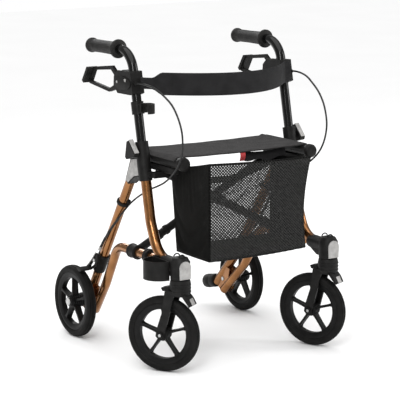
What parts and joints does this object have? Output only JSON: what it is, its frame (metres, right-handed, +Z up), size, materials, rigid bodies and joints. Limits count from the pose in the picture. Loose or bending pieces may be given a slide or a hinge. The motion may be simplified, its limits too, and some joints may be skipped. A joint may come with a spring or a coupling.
{
  "type": "rollator walker",
  "caption": "Folding wheeled walking frame with swivel front casters, cable brakes on height-adjustable handles, seat, back strap, mesh basket and cane holder.",
  "frame": {"origin": "on the floor, in the middle of the footprint", "axes": "+Z up, -Y the direction of travel, +X towards the user's left"},
  "size_m": [0.622, 0.6244, 0.8342],
  "materials": {
    "frame_bronze": "metallic satin",
    "post_black": "gloss",
    "black_plastic": "matte",
    "grey_plastic": "satin",
    "rubber": "matte",
    "tyre": "matte",
    "rim": "satin",
    "steel": "brushed",
    "seat_fabric": "woven",
    "webbing": "woven",
    "basket_mesh": "mesh"
  },
  "bodies": {
    "frame_right": {"front_tube_right": "frame_bronze", "rear_tube_right": "frame_bronze", "lower_rail_right": "frame_bronze", "post_sleeve_right": "black_plastic", "cover_plate_right": "grey_plastic", "axle_lug_right": "frame_bronze", "rear_axle_right": "steel", "tip_pedal_right": "rubber", "caster_head_right": "black_plastic", "caster_plate_right": "grey_plastic", "brake_body_right": "black_plastic", "brake_cable_right": "rubber", "cane_cup": "black_plastic"},
    "frame_left": {"front_tube_left": "frame_bronze", "rear_tube_left": "frame_bronze", "lower_rail_left": "frame_bronze", "post_sleeve_left": "black_plastic", "cover_plate_left": "grey_plastic", "axle_lug_left": "frame_bronze", "rear_axle_left": "steel", "tip_pedal_left": "rubber", "caster_head_left": "black_plastic", "caster_plate_left": "grey_plastic", "brake_body_left": "black_plastic", "brake_cable_left": "rubber"},
    "link_a": {"cross_link_a": "black_plastic", "cross_bolt": "steel", "seat_rail_left": "black_plastic", "seat": "seat_fabric"},
    "link_b": {"cross_link_b": "black_plastic", "seat_rail_right": "black_plastic"},
    "basket": {"basket": "basket_mesh"},
    "handle_right": {"handle_post_right": "post_black", "grip_right": "rubber", "brake_block_right": "black_plastic", "cane_clip": "black_plastic", "backrest": "webbing"},
    "lever_right": {"brake_lever_right": "black_plastic"},
    "knob_right": {"height_knob_right": "grey_plastic"},
    "brake_right": {"brake_arm_right": "black_plastic"},
    "caster_right": {"caster_fork_right": "black_plastic", "front_axle_right": "steel"},
    "front_wheel_right": {"front_tyre_right": "tyre", "front_rim_right": "rim"},
    "rear_wheel_right": {"rear_tyre_right": "tyre", "rear_rim_right": "rim"},
    "handle_left": {"handle_post_left": "post_black", "grip_left": "rubber", "brake_block_left": "black_plastic"},
    "lever_left": {"brake_lever_left": "black_plastic"},
    "knob_left": {"height_knob_left": "grey_plastic"},
    "brake_left": {"brake_arm_left": "black_plastic"},
    "caster_left": {"caster_fork_left": "black_plastic", "front_axle_left": "steel"},
    "front_wheel_left": {"front_tyre_left": "tyre", "front_rim_left": "rim"},
    "rear_wheel_left": {"rear_tyre_left": "tyre", "rear_rim_left": "rim"}
  },
  "joints": [
    {"name": "fold", "type": "hinge", "parent": "frame_right", "child": "link_a", "pos_m": [-0.22505, -0.07328, 0.279], "axis": [0, -1, 0], "range_deg": [0, 20], "deforming": ["seat", "basket", "backrest"]},
    {"name": "cross", "type": "hinge", "parent": "link_a", "child": "link_b", "pos_m": [0.00995, -0.07328, 0.4013], "axis": [0, 1, 0], "range_deg": [0, 40]},
    {"name": "foot", "type": "hinge", "parent": "link_b", "child": "frame_left", "pos_m": [0.24495, -0.07328, 0.279], "axis": [0, -1, 0], "range_deg": [0, 20]},
    {"name": "basket_hang", "type": "hinge", "parent": "link_b", "child": "basket", "pos_m": [-0.19005, -0.07328, 0.535], "axis": [0, -1, 0], "range_deg": [0, 20]},
    {"name": "height_right", "type": "slide", "parent": "frame_right", "child": "handle_right", "axis": [0, 0.2079, 0.9781], "range_m": [-0.05, 0.1], "deforming": ["brake_cable_right"]},
    {"name": "height_left", "type": "slide", "parent": "frame_left", "child": "handle_left", "axis": [0, 0.2079, 0.9781], "range_m": [-0.05, 0.1], "deforming": ["brake_cable_left"]},
    {"name": "lever_right", "type": "hinge", "parent": "handle_right", "child": "lever_right", "pos_m": [-0.23605, 0.00872, 0.727], "axis": [1, 0, 0], "range_deg": [0, 10], "stiffness_Nm_per_rad": 2, "springref_deg": -8.59},
    {"name": "lever_left", "type": "hinge", "parent": "handle_left", "child": "lever_left", "pos_m": [0.25595, 0.00872, 0.727], "axis": [1, 0, 0], "range_deg": [0, 10], "stiffness_Nm_per_rad": 2, "springref_deg": -8.59},
    {"name": "brake_right", "type": "hinge", "parent": "frame_right", "child": "brake_right", "pos_m": [-0.24705, 0.13272, 0.226], "axis": [1, 0, 0], "range_deg": [-4, 0]},
    {"name": "brake_left", "type": "hinge", "parent": "frame_left", "child": "brake_left", "pos_m": [0.26695, 0.13272, 0.226], "axis": [1, 0, 0], "range_deg": [-4, 0]},
    {"name": "knob_right", "type": "hinge", "parent": "frame_right", "child": "knob_right", "pos_m": [-0.25205, -0.07528, 0.556], "axis": [1, 0, 0], "range_deg": [-180, 0]},
    {"name": "knob_left", "type": "hinge", "parent": "frame_left", "child": "knob_left", "pos_m": [0.27195, -0.07528, 0.556], "axis": [1, 0, 0], "range_deg": [-180, 0]},
    {"name": "swivel_right", "type": "hinge", "parent": "frame_right", "child": "caster_right", "pos_m": [-0.22505, -0.26227, 0.25], "axis": [0, 0, 1], "continuous": true},
    {"name": "front_roll_right", "type": "hinge", "parent": "caster_right", "child": "front_wheel_right", "pos_m": [-0.25043, -0.22319, 0.09952], "axis": [0.8387, 0.5446, 0], "continuous": true},
    {"name": "swivel_left", "type": "hinge", "parent": "frame_left", "child": "caster_left", "pos_m": [0.24495, -0.26227, 0.25], "axis": [0, 0, 1], "continuous": true},
    {"name": "front_roll_left", "type": "hinge", "parent": "caster_left", "child": "front_wheel_left", "pos_m": [0.226, -0.2197, 0.09952], "axis": [0.9135, 0.4067, 0], "continuous": true},
    {"name": "rear_roll_right", "type": "hinge", "parent": "frame_right", "child": "rear_wheel_right", "pos_m": [-0.26705, 0.21272, 0.09952], "axis": [1, 0, 0], "continuous": true},
    {"name": "rear_roll_left", "type": "hinge", "parent": "frame_left", "child": "rear_wheel_left", "pos_m": [0.28695, 0.21272, 0.09952], "axis": [1, 0, 0], "continuous": true}
  ],
  "couplings": [
    {"joint": "cross", "follows": "fold", "ratio": 2},
    {"joint": "foot", "follows": "fold", "ratio": 1},
    {"joint": "basket_hang", "follows": "fold", "ratio": 1},
    {"joint": "height_left", "follows": "height_right", "ratio": 1},
    {"joint": "brake_right", "follows": "lever_right", "ratio": -0.4},
    {"joint": "brake_left", "follows": "lever_left", "ratio": -0.4}
  ]
}
